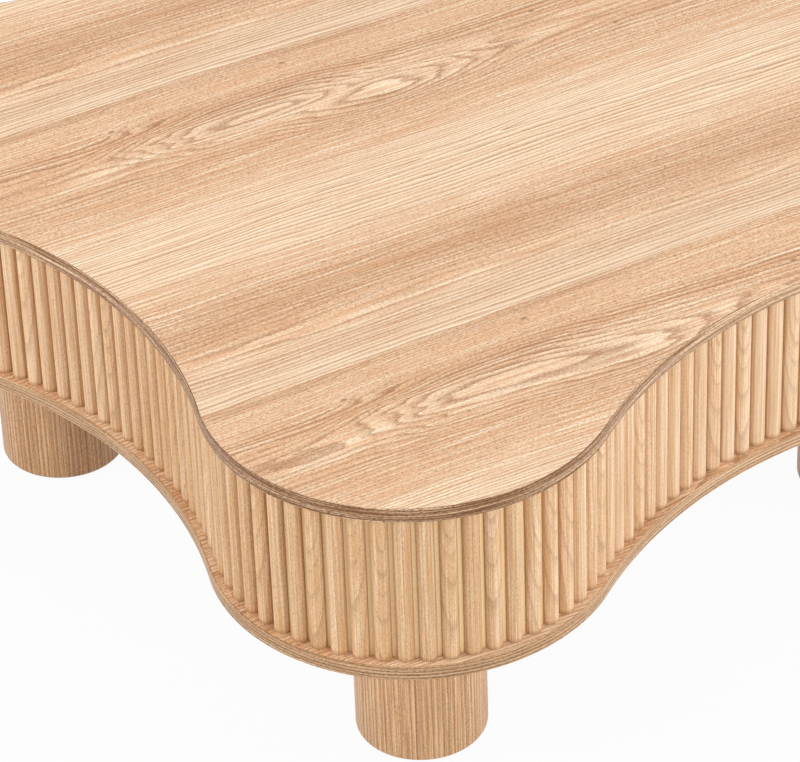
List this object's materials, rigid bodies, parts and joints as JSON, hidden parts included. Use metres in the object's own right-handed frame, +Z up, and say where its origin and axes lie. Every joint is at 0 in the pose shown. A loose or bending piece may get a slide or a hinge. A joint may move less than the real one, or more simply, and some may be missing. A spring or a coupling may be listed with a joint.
{
  "type": "coffee table",
  "caption": "Low coffee table with a wavy four-lobed top, a matching lower board, an apron of upright half-round slats between them, and thick round legs.",
  "frame": {"origin": "on the floor, under the middle of the table", "axes": "+Z up; +X to the right and +Y to the back, each square to a pair of opposite waists"},
  "size_m": [0.8, 0.8, 0.341],
  "materials": {
    "face_veneer": "satin clear lacquer over pale straight and arched grain",
    "edge_veneer": "satin clear lacquer, grain along the edge",
    "slat_wood": "satin clear lacquer, upright grain",
    "bent_ply": "satin clear lacquer where it shows between the slats",
    "leg_wood": "satin clear lacquer, upright grain",
    "inner_wood": "sawn and unfinished",
    "pad_felt": "pressed felt",
    "plated_steel": "zinc plated"
  },
  "bodies": {
    "root": {"top_board": "face_veneer", "top_edge_band": "edge_veneer", "bottom_board": "face_veneer", "bottom_edge_band": "edge_veneer", "backing_lobe_front_left": "bent_ply", "backing_lobe_front_right": "bent_ply", "backing_lobe_back_right": "bent_ply", "backing_lobe_back_left": "bent_ply", "backing_waist_front": "bent_ply", "backing_waist_right": "bent_ply", "backing_waist_back": "bent_ply", "backing_waist_left": "bent_ply", "slats_lobe_front_left": "slat_wood", "slats_lobe_front_right": "slat_wood", "slats_lobe_back_right": "slat_wood", "slats_lobe_back_left": "slat_wood", "slats_waist_front": "slat_wood", "slats_waist_right": "slat_wood", "slats_waist_back": "slat_wood", "slats_waist_left": "slat_wood", "splice_blocks": "inner_wood", "rail_side_to_side": "inner_wood", "rail_front_to_back": "inner_wood", "leg_block_front_left": "inner_wood", "leg_block_front_right": "inner_wood", "leg_block_back_right": "inner_wood", "leg_block_back_left": "inner_wood", "top_dowels": "inner_wood", "leg_front_left": "leg_wood", "leg_front_right": "leg_wood", "leg_back_right": "leg_wood", "leg_back_left": "leg_wood", "foot_pad_front_left": "pad_felt", "foot_pad_front_right": "pad_felt", "foot_pad_back_right": "pad_felt", "foot_pad_back_left": "pad_felt", "hanger_bolts": "plated_steel", "tee_nuts": "plated_steel", "block_screws": "plated_steel", "rail_screws": "plated_steel"}
  },
  "joints": []
}
